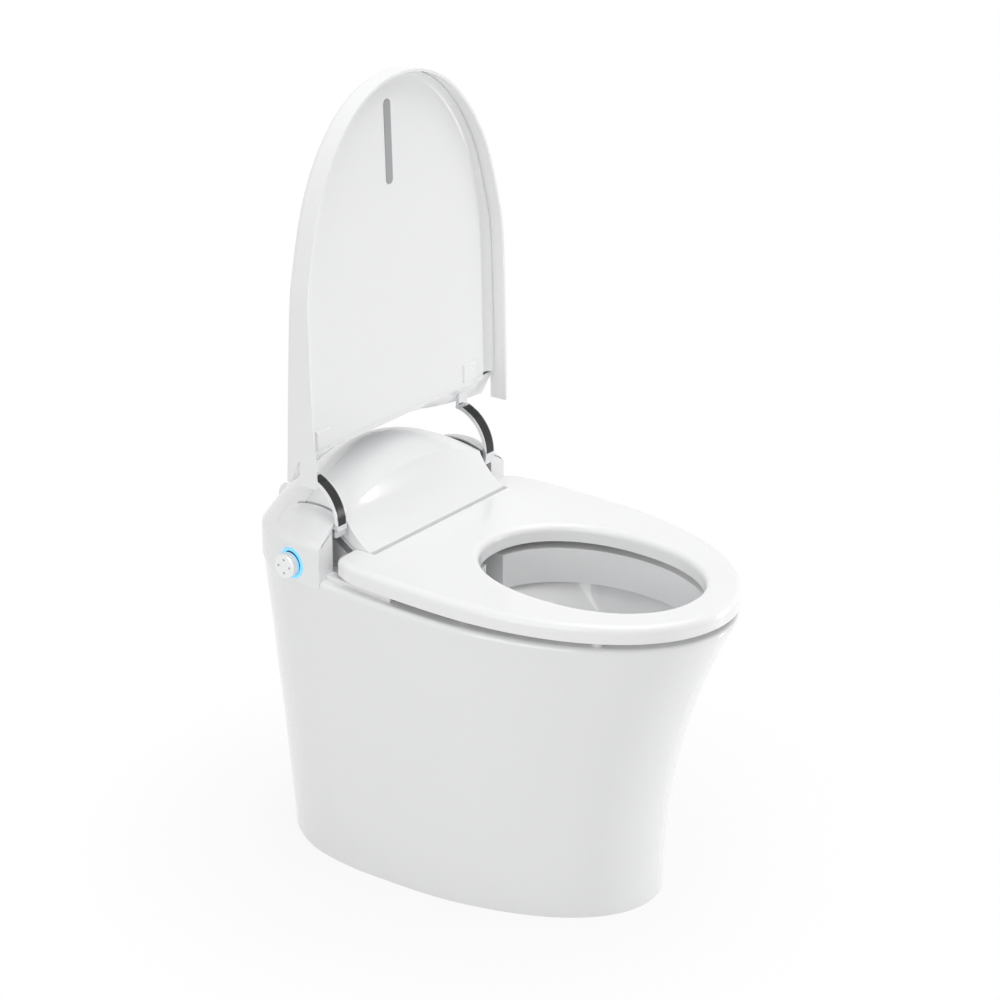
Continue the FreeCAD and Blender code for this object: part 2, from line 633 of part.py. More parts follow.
def seat_arm(x0, x1):
    """Flat arm from the pivot down to the horn of the seat."""
    boss, bore = hub(x0, x1, dim("hub_radius"))
    reach = 76
    blade = box(x0, x1, PIVOT.y, PIVOT.y + reach, PIVOT.z - 5, PIVOT.z + 5)
    blade.rotate(PIVOT, Vec(1, 0, 0), 212)
    return boss.fuse(blade).cut(bore).removeSplitter()


def seat_arm_socket(x0, x1):
    blade = box(x0 - 0.1, x1 + 0.1, PIVOT.y, PIVOT.y + 77, PIVOT.z - 5.1, PIVOT.z + 5.1)
    blade.rotate(PIVOT, Vec(1, 0, 0), 212)
    return blade


def mirrored(shape):
    return shape.mirror(Vec(0, 0, 0), Vec(1, 0, 0))


right_strap = strap(dim("strap_inner"), dim("strap_outer"))
right_arm = seat_arm(dim("seat_arm_inner"), dim("seat_arm_outer"))
socket = seat_arm_socket(dim("seat_arm_inner"), dim("seat_arm_outer"))
free_form("lid_strap_right", right_strap)
free_form("lid_strap_left", mirrored(right_strap))
free_form("seat_arm_right", right_arm)
free_form("seat_arm_left", mirrored(right_arm))
for item in SUBPARTS:
    if item.Label in ("seat_top_shell", "seat_base_shell"):
        item.Shape = item.Shape.cut(socket).cut(mirrored(socket))
    if item.Label == "lid_outer_shell":
        item.Shape = item.Shape.cut(right_strap).cut(mirrored(right_strap))


def cylinder_along_x(name, radius, length, start, y, z):
    """A parametric round bar whose radius and length follow the sheet."""
    item = doc.addObject("Part::Cylinder", name)
    item.setExpression("Radius", radius)
    item.setExpression("Height", length)
    item.Placement = FreeCAD.Placement(Vec(start, y, z), FreeCAD.Rotation(Vec(0, 1, 0), 90))
    return item


for side_name, start in (("right", 100), ("left", -156)):
    pin = cylinder_along_x(f"hinge_pin_{side_name}", "Dims.pin_radius", "56", start, PIVOT.y, PIVOT.z)
    keep(pin, f"hinge_pin_{side_name}")


def hinge_bracket(side):
    """Bearing block that holds the pin and stands on the chassis."""
    x0, x1 = (112, 128) if side > 0 else (-128, -112)
    foot = box(x0, x1, PIVOT.y - 16, PIVOT.y + 16, dim("chassis_top"), PIVOT.z)
    head = Part.makeCylinder(8.5, x1 - x0, Vec(x0, PIVOT.y, PIVOT.z), Vec(1, 0, 0))
    body = foot.fuse(head).removeSplitter()
    return body.cut(Part.makeCylinder(dim("pin_radius"), x1 - x0 + 2, Vec(x0 - 1, PIVOT.y, PIVOT.z), Vec(1, 0, 0)))


free_form("hinge_bracket_right", hinge_bracket(1))
free_form("hinge_bracket_left", hinge_bracket(-1))
for side_name, start in (("right", 38), ("left", -100)):
    damper = cylinder_along_x(f"soft_close_damper_{side_name}", "Dims.damper_radius", "Dims.damper_length",
                              start, PIVOT.y, PIVOT.z)
    keep(damper, f"soft_close_damper_{side_name}")


# ---------------------------------------------------------------- washing nozzle
def along_nozzle(y):
    return Vec(0, y, nozzle_axis(y))


def nozzle_solids():
    tilt = math.radians(dim("nozzle_tilt"))
    back = Vec(0, math.cos(tilt), math.sin(tilt))
    tip = along_nozzle(dim("nozzle_tip_y"))
    radius = dim("nozzle_radius")
    rod = Part.makeCylinder(radius - 0.6, dim("nozzle_length") - 24, tip + back * 24, back)
    head = Part.makeCylinder(radius, 24, tip, back)
    head = round_edges(head, 3, lambda e: e.BoundBox.YMin < tip.y + 4 and e.BoundBox.YMax < tip.y + 6)
    for step in (9, 13, 17):
        head = head.cut(Part.makeCylinder(1, 12, tip + back * step + Vec(0, 0, 3), Vec(0, -math.sin(tilt), math.cos(tilt))))
    sleeve_start = along_nozzle(dim("nozzle_tip_y")) + back * 52
    sleeve = Part.makeCylinder(radius + 3, 86, sleeve_start, back)
    sleeve = sleeve.cut(Part.makeCylinder(radius + dim("nozzle_gap"), 90, sleeve_start - back * 2, back))
    return rod, head, sleeve


nozzle_rod, nozzle_head, nozzle_sleeve = nozzle_solids()
free_form("nozzle_rod", nozzle_rod)
free_form("nozzle_tip", nozzle_head)
free_form("nozzle_sleeve", nozzle_sleeve)


# ---------------------------------------------------------------- side knob
KNOB_WALL = -wall_x(dim("knob_y"))


def body_with_pad(name, radius, length, start, y, z, fillet=0.0):
    """A turned piece: a circle padded along X, with a rounded outer edge."""
    body = doc.addObject("PartDesign::Body", name)
    plane = next(item for item in body.Origin.OriginFeatures if item.Role == "YZ_Plane")
    sketch = body.newObject("Sketcher::SketchObject", name + "_circle")
    sketch.AttachmentSupport = (plane, [""])
    sketch.MapMode = "FlatFace"
    sketch.addGeometry(Part.Circle(Vec(0, 0, 0), Vec(0, 0, 1), dim(radius)), False)
    import Sketcher
    sketch.addConstraint(Sketcher.Constraint("Coincident", 0, 3, -1, 1))
    index = sketch.addConstraint(Sketcher.Constraint("Radius", 0, dim(radius)))
    sketch.setExpression(f"Constraints[{index}]", f"Dims.{radius}")
    pad = body.newObject("PartDesign::Pad", name + "_pad")
    pad.Profile = sketch
    pad.setExpression("Length", length)
    doc.recompute()
    if fillet:
        rim = body.newObject("PartDesign::Fillet", name + "_edge")
        far = next(f"Edge{i}" for i, edge in enumerate(pad.Shape.Edges, 1)
                   if edge.BoundBox.XMax < pad.Shape.BoundBox.XMin + 0.01)
        rim.Base = (pad, [far])
        rim.Radius = fillet
    body.Placement = FreeCAD.Placement(Vec(start, y, z), FreeCAD.Rotation())
    return body




def light_ring():
    """Lit ring let into the housing wall: it follows the wall and stands a little proud of it."""
    rear = body_halves(dim("rim_height"))[1]
    front = (rear[0], rear[1], 130, 3)
    low, high = dim("knob_height") - 30, dim("knob_height") + 30
    centre = Vec(KNOB_WALL - 20, dim("knob_y"), dim("knob_height"))
    ring = Part.makeCylinder(dim("light_ring_radius"), 50, centre, Vec(1, 0, 0))
    ring = ring.cut(Part.makeCylinder(dim("knob_radius") + 0.5, 60, centre - Vec(5, 0, 0), Vec(1, 0, 0)))
    band = slab(front, rear, low, high, -dim("light_ring_proud"))
    band = band.cut(slab(front, rear, low - 1, high + 1, dim("housing_skin")))
    return ring.common(band)


free_form("knob_light_ring", light_ring())
knob = body_with_pad("side_knob", "knob_radius", "Dims.knob_length", KNOB_WALL - 14.5,
                     dim("knob_y"), dim("knob_height"), 1.5)
keep(knob, "side_knob")
shaft = cylinder_along_x("knob_shaft", "Dims.knob_shaft_radius", "12.7", KNOB_WALL - 3.65,
                         dim("knob_y"), dim("knob_height"))
keep(shaft, "knob_shaft")
encoder = box(KNOB_WALL + 11, KNOB_WALL + 20.5, dim("knob_y") - 9, dim("knob_y") + 9,
              dim("chassis_top"), dim("knob_height") + 9)
free_form("knob_encoder", encoder)


# ---------------------------------------------------------------- services inside the housing
top = dim("chassis_top")
heater = round_edges(box(30, 98, 190, 228, top, top + 44), 8, lambda e: e.BoundBox.XLength > 60)
free_form("water_heater", heater)
free_form("control_board", box(-118, -30, 186, 189, top + 3, top + 50))
board_chips = [box(-100 + 26 * k, -84 + 26 * k, 189, 196, top + 16, top + 32) for k in range(3)]
free_form("board_components", Part.makeCompound(board_chips))


def inlet_valve():
    """Solenoid valve whose threaded spigot leaves through the back of the housing."""
    block_back, spigot_start, mid_z = 262, dim("back_flat") + 1, top + 15
    block = box(-46, -14, 234, block_back, top, top + 26)
    neck = Part.makeCylinder(dim("inlet_radius") - 1.5, spigot_start - block_back + 1, Vec(-30, block_back, mid_z), Vec(0, 1, 0))
    spigot = Part.makeCylinder(dim("inlet_radius"), dim("inlet_length"), Vec(-30, spigot_start, mid_z), Vec(0, 1, 0))
    bore = Part.makeCylinder(6, 60, Vec(-30, 245, mid_z), Vec(0, 1, 0))
    coil = Part.makeCylinder(9, 8, Vec(-30, 246, top + 26))
    return block.fuse([neck, spigot, coil]).cut(bore).removeSplitter()


free_form("inlet_valve", inlet_valve())
gland = Part.makeCylinder(8, 22, Vec(40, 270, top + 14), Vec(0, 1, 0))
gland = gland.fuse(Part.makeCylinder(11, 3, Vec(40, dim("back_flat"), top + 14), Vec(0, 1, 0)))
free_form("cord_gland", gland.cut(Part.makeCylinder(4, 40, Vec(40, 265, top + 14), Vec(0, 1, 0))).removeSplitter())
for item in SUBPARTS:
    if item.Label == "rear_cover":
        openings = [Part.makeCylinder(dim("inlet_radius") + 0.5, 40, Vec(-30, 265, top + 15), Vec(0, 1, 0)),
                    Part.makeCylinder(8.1, 40, Vec(40, 260, top + 14), Vec(0, 1, 0))]
        item.Shape = item.Shape.cut(openings[0]).cut(openings[1])

pump = Part.makeCylinder(26, 46, Vec(-8, 202, 350)).fuse(Part.makeCylinder(20, 22, Vec(-8, 202, 396)))
free_form("flush_pump", pump.fuse(box(-44, 28, 196, 208, top, top + 2)))

for side_name, x in (("right", 110), ("left", -110)):
    screw = doc.addObject("Part::Fuse", f"chassis_screw_{side_name}")
    stem = doc.addObject("Part::Cylinder", f"screw_stem_{side_name}")
    stem.setExpression("Radius", "Dims.bolt_radius")
    stem.Height = 30
    stem.Placement.Base = Vec(x, 200, dim("chassis_top") - 30)
    head = doc.addObject("Part::Cylinder", f"screw_head_{side_name}")
    head.setExpression("Radius", "Dims.bolt_radius * 2")
    head.Height = 4
    head.Placement.Base = Vec(x, 200, dim("chassis_top"))
    screw.Base, screw.Tool = stem, head
    keep(screw, f"chassis_screw_{side_name}")


# ---------------------------------------------------------------- warm-air dryer
def dryer_case():
    case = Part.makeCylinder(26, 20, Vec(-75, 140, top), Vec(0, 0, 1))
    case = case.cut(Part.makeCylinder(24, 18.5, Vec(-75, 140, top + 1.5)))
    duct = box(-62, -50, 100, 142, top, top + 14).cut(box(-60.5, -51.5, 98, 141, top + 1.5, top + 12.5))
    duct = duct.cut(Part.makeCylinder(24, 18.5, Vec(-75, 140, top + 1.5)))
    return case.fuse(duct).removeSplitter()


def impeller():
    wheel = Part.makeCylinder(22, 1.5, Vec(-75, 140, top + 3))
    blades = []
    for k in range(16):
        blade = box(-75 + 15, -75 + 21.5, 139.4, 140.6, top + 3, top + 15)
        blade.rotate(Vec(-75 + 21.5, 140, top), Vec(0, 0, 1), 35)
        blade.rotate(Vec(-75, 140, top), Vec(0, 0, 1), 22.5 * k)
        blades.append(blade)
    core = Part.makeCylinder(8, 11, Vec(-75, 140, top + 3))
    return wheel.fuse(blades + [core]).common(Part.makeCylinder(22, 30, Vec(-75, 140, top))).removeSplitter()


free_form("dryer_case", dryer_case())
free_form("dryer_impeller", impeller())


# ---------------------------------------------------------------- checks and files
doc.recompute()
labels = [item.Label for item in SUBPARTS]
if len(set(labels)) != len(labels):
    raise SystemExit(f"repeated labels: {labels}")
for item in doc.Objects:
    if any(word in item.State for word in ("Invalid", "Error")):
        raise SystemExit(f"{item.Name} failed: {item.State}")
os.makedirs("parts", exist_ok=True)
for item in SUBPARTS:
    shape = item.Shape
    if shape.isNull() or not shape.isValid() or not shape.Solids:
        raise SystemExit(f"{item.Label} is null, invalid or holds no solid")
    shape.exportStep(f"parts/{item.Label}.step")
    print(f"{item.Label}: {len(shape.Solids)} solid(s), {shape.Volume / 1000:.1f} cm3")
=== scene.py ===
"""Looks of the smart toilet: glaze, plastics, plated metal, small fittings, camera and studio."""
import json
import math

import bmesh
import bpy
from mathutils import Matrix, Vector


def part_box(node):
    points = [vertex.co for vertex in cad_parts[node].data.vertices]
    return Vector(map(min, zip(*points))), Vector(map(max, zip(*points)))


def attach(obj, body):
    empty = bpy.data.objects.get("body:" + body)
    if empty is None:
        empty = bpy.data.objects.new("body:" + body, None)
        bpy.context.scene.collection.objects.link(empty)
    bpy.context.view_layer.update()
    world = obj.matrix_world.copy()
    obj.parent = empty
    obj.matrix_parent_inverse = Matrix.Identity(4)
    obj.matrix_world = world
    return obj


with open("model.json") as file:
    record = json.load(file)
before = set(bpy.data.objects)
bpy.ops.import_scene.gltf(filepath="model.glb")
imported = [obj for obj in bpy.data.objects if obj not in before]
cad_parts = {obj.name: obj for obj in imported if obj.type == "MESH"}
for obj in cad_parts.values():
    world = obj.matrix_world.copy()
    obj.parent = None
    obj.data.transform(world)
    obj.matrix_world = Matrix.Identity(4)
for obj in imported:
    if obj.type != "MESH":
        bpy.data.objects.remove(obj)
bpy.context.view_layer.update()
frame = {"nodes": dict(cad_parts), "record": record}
NODES = frame["nodes"]


# ------------------------------------------------------------------ materials
COAT_ROUGHNESS = 0.04
BODY_IOR = 1.5
GRAIN_HEIGHT = 0.0004
DRIFT_DETAIL, GRAIN_DETAIL = 4.0, 3.0


def principled(name, colour, roughness, metallic=0.0, coat=0.0):
    """A plain material; returns it with its node tree and its shader node."""
    mat = bpy.data.materials.new(name)
    mat.use_nodes = True
    shader = mat.node_tree.nodes["Principled BSDF"]
    shader.inputs["Base Color"].default_value = (*colour, 1)
    shader.inputs["Roughness"].default_value = roughness
    shader.inputs["Metallic"].default_value = metallic
    shader.inputs["IOR"].default_value = BODY_IOR
    shader.inputs["Coat Weight"].default_value = coat
    shader.inputs["Coat Roughness"].default_value = COAT_ROUGHNESS
    return mat, mat.node_tree, shader


def vary(tree, shader, colour, depth, scale, rough, rough_depth, bump, bump_scale):
    """Slow colour drift, uneven gloss and a fine surface grain, all in object space."""
    nodes, links = tree.nodes, tree.links
    coords = nodes.new("ShaderNodeTexCoord")
    drift = nodes.new("ShaderNodeTexNoise")
    drift.inputs["Scale"].default_value = scale
    drift.inputs["Detail"].default_value = DRIFT_DETAIL
    links.new(coords.outputs["Object"], drift.inputs["Vector"])
    tint = nodes.new("ShaderNodeMix")
    tint.data_type = "RGBA"
    tint.inputs["A"].default_value = (*colour, 1)
    tint.inputs["B"].default_value = (*[c * (1 - depth) for c in colour], 1)
    links.new(drift.outputs["Fac"], tint.inputs["Factor"])
    links.new(tint.outputs["Result"], shader.inputs["Base Color"])
    gloss = nodes.new("ShaderNodeMapRange")
    gloss.inputs["To Min"].default_value = rough
    gloss.inputs["To Max"].default_value = rough + rough_depth
    links.new(drift.outputs["Fac"], gloss.inputs["Value"])
    links.new(gloss.outputs["Result"], shader.inputs["Roughness"])
    if bump:
        grain = nodes.new("ShaderNodeTexNoise")
        grain.inputs["Scale"].default_value = bump_scale
        grain.inputs["Detail"].default_value = GRAIN_DETAIL
        links.new(coords.outputs["Object"], grain.inputs["Vector"])
        relief = nodes.new("ShaderNodeBump")
        relief.inputs["Strength"].default_value = bump
        relief.inputs["Distance"].default_value = GRAIN_HEIGHT
        links.new(grain.outputs["Fac"], relief.inputs["Height"])
        links.new(relief.outputs["Normal"], shader.inputs["Normal"])


def finish_of(name, colour, rough, metallic=0.0, coat=0.0, depth=0.03, scale=9.0,
              rough_depth=0.04, bump=0.0, bump_scale=400.0):
    """A finished material: a base colour and roughness that drift a little, and a fine grain."""
    mat, tree, shader = principled(name, colour, rough, metallic, coat)
    vary(tree, shader, colour, depth, scale, rough, rough_depth, bump, bump_scale)
    return mat


def lit(name, colour, strength):
    """A frosted lens with a lamp behind it."""
    mat = finish_of(name, colour, 0.3, coat=0.3, depth=0.15, scale=70)
    shader = mat.node_tree.nodes["Principled BSDF"]
    shader.inputs["Emission Color"].default_value = (*colour, 1)
    shader.inputs["Emission Strength"].default_value = strength
    return mat


GLAZE = finish_of("fired_glaze", (0.86, 0.863, 0.868), 0.07, coat=0.7, depth=0.015, scale=5,
                  rough_depth=0.03, bump=0.03, bump_scale=50)
SHELL = finish_of("polished_white_plastic", (0.88, 0.883, 0.888), 0.2, coat=0.25, depth=0.015, bump=0.03,
                  bump_scale=150)
SEAT = finish_of("seat_white_plastic", (0.9, 0.902, 0.906), 0.22, coat=0.25, depth=0.012, bump=0.03,
                 bump_scale=150)
CHROME = finish_of("bright_plate", (0.80, 0.81, 0.82), 0.07, metallic=1.0, depth=0.05, scale=40)
STEEL = finish_of("turned_steel", (0.60, 0.61, 0.62), 0.28, metallic=1.0, depth=0.10, scale=60, bump=0.1)
DARK = finish_of("dark_moulding", (0.03, 0.03, 0.033), 0.35, depth=0.2, scale=30, bump=0.1, bump_scale=900)
INSERT = finish_of("black_gloss_insert", (0.006, 0.006, 0.007), 0.22, depth=0.2, scale=60)
GREY = finish_of("grey_moulding", (0.45, 0.46, 0.48), 0.4, depth=0.08, scale=30, bump=0.1, bump_scale=900)
RUBBER = finish_of("pale_rubber", (0.72, 0.72, 0.72), 0.6, depth=0.06, scale=30, bump=0.1, bump_scale=900)
BLACK_RUBBER = finish_of("black_rubber", (0.04, 0.04, 0.04), 0.6, depth=0.1, scale=30, bump=0.1,
                         bump_scale=900)
COPPER = finish_of("copper_foil", (0.62, 0.33, 0.2), 0.3, metallic=1.0, depth=0.1, scale=50)
BOARD = finish_of("board_green", (0.03, 0.2, 0.09), 0.35, depth=0.15, scale=80)
BRASS = finish_of("nickel_plated_brass", (0.82, 0.82, 0.80), 0.3, metallic=0.6, depth=0.06, scale=50)
LENS = finish_of("frosted_lens", (0.36, 0.365, 0.375), 0.3, coat=0.3, depth=0.06, scale=60)
KNOB_FACE = finish_of("satin_plate", (0.86, 0.865, 0.87), 0.22, metallic=0.85, depth=0.04, scale=60)
BLUE = lit("lit_blue_ring", (0.20, 0.62, 1.0), 0.55)

SLOT_FINISH = {
    "vitreous_china": GLAZE, "white_plastic": SHELL, "lid_plastic": SHELL, "seat_plastic": SEAT,
    "dark_plastic": DARK, "grey_plastic": GREY, "bright_steel": CHROME, "steel": STEEL, "rubber": RUBBER,
    "black_rubber": BLACK_RUBBER, "copper_foil": COPPER, "board_green": BOARD, "brass": BRASS,
    "blue_light": BLUE, "lamp_grey": LENS,
}
slot_of = {sub["node"]: sub["material_slot"] for sub in frame["record"]["subparts"]}
NODE_FINISH = {"side_knob": KNOB_FACE}
for node, obj in NODES.items():
    obj.data.materials.clear()
    obj.data.materials.append(NODE_FINISH.get(node, SLOT_FINISH[slot_of[node]]))


# ------------------------------------------------------------------ small fittings
BEVEL_STEPS = 3
BEVEL_ABOVE = math.radians(40)


def piece_from(name, build, material, body, bevel=0.0):
    """A new rigid piece: build fills a bmesh, in metres and in the object's frame."""
    mesh = bpy.data.meshes.new(name)
    work = bmesh.new()
    build(work)
    bmesh.ops.recalc_face_normals(work, faces=work.faces)
    work.to_mesh(mesh)
    work.free()
    for face in mesh.polygons:
        face.use_smooth = True
    obj = bpy.data.objects.new(name, mesh)
    bpy.context.scene.collection.objects.link(obj)
    obj.data.materials.append(material)
    if bevel:
        edge = obj.modifiers.new("edge", "BEVEL")
        edge.width = bevel
        edge.segments = BEVEL_STEPS
        edge.limit_method = "ANGLE"
        edge.angle_limit = BEVEL_ABOVE
        edge.harden_normals = True
    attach(obj, body)


def closed_loft(work, rings):
    """Skin a list of equal rings of points and close both ends."""
    rows = [[work.verts.new(point) for point in ring] for ring in rings]
    count = len(rows[0])
    for lower, upper in zip(rows, rows[1:]):
        for k in range(count):
            work.faces.new((lower[k], lower[(k + 1) % count], upper[(k + 1) % count], upper[k]))
    work.faces.new(rows[0][::-1])
    work.faces.new(rows[-1])


HINGE = Vector(next(j["pos_m"] for j in frame["record"]["behaviour"]["joints"] if j["name"] == "lid_hinge"))
STRAP_RADIUS = 0.057                 # outer face of a strap, about the hinge axis
STRAP_SECTOR = (98, 196)             # degrees about the hinge axis that a strap covers
INSERT_SHARE = (0.10, 0.84)          # of that sector, from its upper end
INSERT_MARGIN = 0.0016               # plated metal left showing on each side
INSERT_SUNK, INSERT_PROUD = 0.0008, 0.0005
INSERT_STEPS = 28
INSERT_BEVEL = 0.0003


def strap_insert(side):
    """Black gloss inlay on the outer face of a lid strap; plated metal shows round it."""
    low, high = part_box(f"lid_strap_{side}")
    x0, x1 = low[0] + INSERT_MARGIN, high[0] - INSERT_MARGIN
    span = STRAP_SECTOR[1] - STRAP_SECTOR[0]
    first, last = (STRAP_SECTOR[0] + share * span for share in INSERT_SHARE)

    def build(work):
        rings = []
        for k in range(INSERT_STEPS + 1):
            turn = math.radians(first + (last - first) * k / INSERT_STEPS)
            out = Vector((0, math.cos(turn), math.sin(turn)))
            inner = HINGE + out * (STRAP_RADIUS - INSERT_SUNK)
            outer = HINGE + out * (STRAP_RADIUS + INSERT_PROUD)
            rings.append([(x0, inner.y, inner.z), (x1, inner.y, inner.z), (x1, outer.y, outer.z),
                          (x0, outer.y, outer.z)])
        closed_loft(work, rings)
    piece_from(f"strap_insert_{side}", build, INSERT, "lid", INSERT_BEVEL)


for strap_side in ("left", "right"):
    strap_insert(strap_side)


MARK_COUNT, MARK_STEPS = 4, 20
MARK_PLACE = 0.56                    # of the knob's radius
MARK_RADIUS, MARK_TOP_RADIUS = 0.0015, 0.0010
MARK_ROOT, MARK_SHOULDER, MARK_TOP = 0.0004, -0.0002, -0.0005    # from the knob's face, outwards is minus


def disc_rings(y, z, profile):
    """Rings of a solid turned about an axis along X at y, z: profile holds (x, radius) pairs."""
    turns = [2 * math.pi * k / MARK_STEPS for k in range(MARK_STEPS)]
    return [[(x, y + radius * math.cos(turn), z + radius * math.sin(turn)) for turn in turns]
            for x, radius in profile]


def knob_marks():
    """Four small raised marks round the knob's face."""
    low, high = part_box("side_knob")
    face_x, radius = low[0], (high[1] - low[1]) / 2
    centre_y, centre_z = (low[1] + high[1]) / 2, (low[2] + high[2]) / 2
    profile = [(face_x + MARK_ROOT, MARK_RADIUS), (face_x + MARK_SHOULDER, MARK_RADIUS),
               (face_x + MARK_TOP, MARK_TOP_RADIUS)]

    def build(work):
        for k in range(MARK_COUNT):
            turn = 2 * math.pi * k / MARK_COUNT
            y = centre_y + MARK_PLACE * radius * math.cos(turn)
            z = centre_z + MARK_PLACE * radius * math.sin(turn)
            closed_loft(work, disc_rings(y, z, profile))
    piece_from("knob_marks", build, GREY, "knob")


knob_marks()


# The housing's driving dimensions in metres, as in the part's source.
EAR_FRONT, BACK_FLAT = 0.110, 0.281
WALL_HALF, WALL_REACH, WALL_POWER = 0.184, 0.172, 2.3
SHOULDER, BACK_SHOULDER = 0.441, 0.418
CREASE, CROWN, BACK_CROWN, CROWN_Y, FALL_POWER = 0.499, 0.5175, 0.446, 0.172, 1.2
SLOT_OUTER, SLOT_BACK = 0.1585, 0.188    # just past the slot beside a strap

# The hoods over the slots.
HOOD_INNER, HOOD_BACK = 0.1392, 0.236    # clear of the seat arm; run out into the dome
HOOD_CREST, HOOD_CREST_HALF, HOOD_RAMP = 0.156, 0.002, 0.028
HOOD_RISE, HOOD_FRONT_SHARE, HOOD_FRONT_RAMP = 0.0128, 0.55, 0.03
HOOD_RUN_OUT = 0.014                     # starts to fall this far before the slot's end
HOOD_WALL_GAP = 0.006
HOOD_SKIN, HOOD_BEVEL = 0.0020, 0.0012
HOOD_PROUD, HOOD_UNDER = 0.0002, 0.001
EDGE_SHARE, EDGE_SINK = 0.02, 0.0012     # a nearly level edge sinks into the roof
HOOD_ROWS, HOOD_COLUMNS = 26, 16


def smooth_step(value, low, high):
    """0 below low, 1 above high, and a smooth rise between."""
    share = min(max((value - low) / (high - low), 0.0), 1.0)
    return share * share * (3 - 2 * share)


def wall_half(y):
    """Distance of the housing's wall from the middle plane at y."""
    return WALL_HALF * (1 - (abs(y - BACK_FLAT + WALL_REACH) / WALL_REACH) ** WALL_POWER) ** (1 / WALL_POWER)


def roof_height(x, y):
    """Top of the moulded housing, a dome from the wall's shoulder to the middle plane."""
    run = y - EAR_FRONT
    if y < CROWN_Y:
        middle = CREASE + (CROWN - CREASE) * math.sin(math.pi / 2 * run / (CROWN_Y - EAR_FRONT))
    else:
        fall = math.cos(math.pi / 2 * min((y - CROWN_Y) / (BACK_FLAT - CROWN_Y), 1)) ** FALL_POWER
        middle = BACK_CROWN + (CROWN - BACK_CROWN) * fall
    shoulder = SHOULDER - (SHOULDER - BACK_SHOULDER) * (run / (BACK_FLAT - EAR_FRONT)) ** 2
    return shoulder + (middle - shoulder) * (1 - (x / wall_half(y)) ** 2)


def hood_top(x, y, outer):
    """Height of a hood's top: the roof, raised over the slot to clear the hub of the strap."""
    rise = smooth_step(x, HOOD_CREST - HOOD_RAMP, HOOD_CREST)
    rise *= 1 - smooth_step(x, HOOD_CREST + HOOD_CREST_HALF, outer)
    front_rise = smooth_step(y, EAR_FRONT, EAR_FRONT + HOOD_FRONT_RAMP)
    along = HOOD_FRONT_SHARE + (1 - HOOD_FRONT_SHARE) * front_rise
    along *= 1 - smooth_step(y, SLOT_BACK - HOOD_RUN_OUT, HOOD_BACK)
    sink = EDGE_SINK if rise * along < EDGE_SHARE else 0
    return roof_height(x, y) + HOOD_RISE * rise * along + HOOD_PROUD - sink


def hinge_hood(side, sign):
    """Moulded hood over the hub end of a lid strap: it runs out into the ear and the dome."""
    def grid_points(under):
        rows = []
        for i in range(HOOD_ROWS + 1):
            y = EAR_FRONT + (HOOD_BACK - EAR_FRONT) * i / HOOD_ROWS
            outer = wall_half(y) - HOOD_WALL_GAP
            rows.append([])
            for k in range(HOOD_COLUMNS + 1):
                x = HOOD_INNER + (outer - HOOD_INNER) * k / HOOD_COLUMNS
                z = hood_top(x, y, outer)
                if under:
                    z -= HOOD_SKIN
                    if x >= SLOT_OUTER or y >= SLOT_BACK:
                        z = min(roof_height(x, y) - HOOD_UNDER, z)
                rows[-1].append((sign * x, y, z))
        return rows

    def build(work):
        tops = [[work.verts.new(place) for place in row] for row in grid_points(under=False)]
        lows = [[work.verts.new(place) for place in row] for row in grid_points(under=True)]
        for i in range(HOOD_ROWS):
            for k in range(HOOD_COLUMNS):
                for grid in (tops, lows):
                    work.faces.new((grid[i][k], grid[i + 1][k], grid[i + 1][k + 1], grid[i][k + 1]))
        rim = [(i, 0) for i in range(HOOD_ROWS)] + [(HOOD_ROWS, k) for k in range(HOOD_COLUMNS)]
        rim += [(i, HOOD_COLUMNS) for i in range(HOOD_ROWS, 0, -1)]
        rim += [(0, k) for k in range(HOOD_COLUMNS, 0, -1)]
        for (i, k), (j, m) in zip(rim, rim[1:] + rim[:1]):
            work.faces.new((tops[i][k], tops[j][m], lows[j][m], lows[i][k]))
    piece_from(f"hinge_hood_{side}", build, SHELL, "root", HOOD_BEVEL)


hinge_hood("left", -1)
hinge_hood("right", 1)


TAB_OUTER = 0.160                    # the panel's two tabs end inside this
STRIP_HALF, STRIP_THICK, STRIP_SUNK, STRIP_BEVEL = 0.172, 0.004, 0.0002, 0.0004
STRIP_BELOW, STRIP_ABOVE, PROBE_ABOVE = 0.008, 0.003, 0.006      # from the panel's lower edge
STRIP_STEPS = 24


def panel_reveal():
    """Closes the reveal under the lid's inner panel; it follows the panel's face just behind it."""
    panel = NODES["lid_inner_panel"]
    foot = min(v.co.z for v in panel.data.vertices if abs(v.co.x) > TAB_OUTER)
    low, high = foot - STRIP_BELOW, foot + STRIP_ABOVE

    def build(work):
        rings = []
        for k in range(STRIP_STEPS + 1):
            x = -STRIP_HALF + 2 * STRIP_HALF * k / STRIP_STEPS
            found, place, _, _ = panel.ray_cast(Vector((x, 0, foot + PROBE_ABOVE)), Vector((0, 1, 0)))
            if found:
                front, back = place.y + STRIP_SUNK, place.y + STRIP_SUNK + STRIP_THICK
                rings.append([(x, front, low), (x, back, low), (x, back, high), (x, front, high)])
        closed_loft(work, rings)
    piece_from("lid_reveal_strip", build, SHELL, "lid", STRIP_BEVEL)


panel_reveal()


# ------------------------------------------------------------------ studio
WHITE = (1, 1, 1, 1)
WORLD_LIGHT = 0.57
FLOOR_RADIUS, FLOOR_SIDES = 6, 96
FLOOR_COLOUR, FLOOR_ROUGHNESS = (0.8, 0.8, 0.8), 0.5
FLOOR_FADE = (0.26, 0.55)            # from the origin: the floor turns to plain white between these
FLOOR_GLOW = (0.86, 1.0)             # share of plain white at those two distances
LENS_MM, SENSOR_MM, FAR_CLIP = 118.8, 36, 50
CAMERA_PLACE = (-2.93778, -2.29966, 2.07580)
CAMERA_TILT, CAMERA_HEADING = 66.765, -52.266


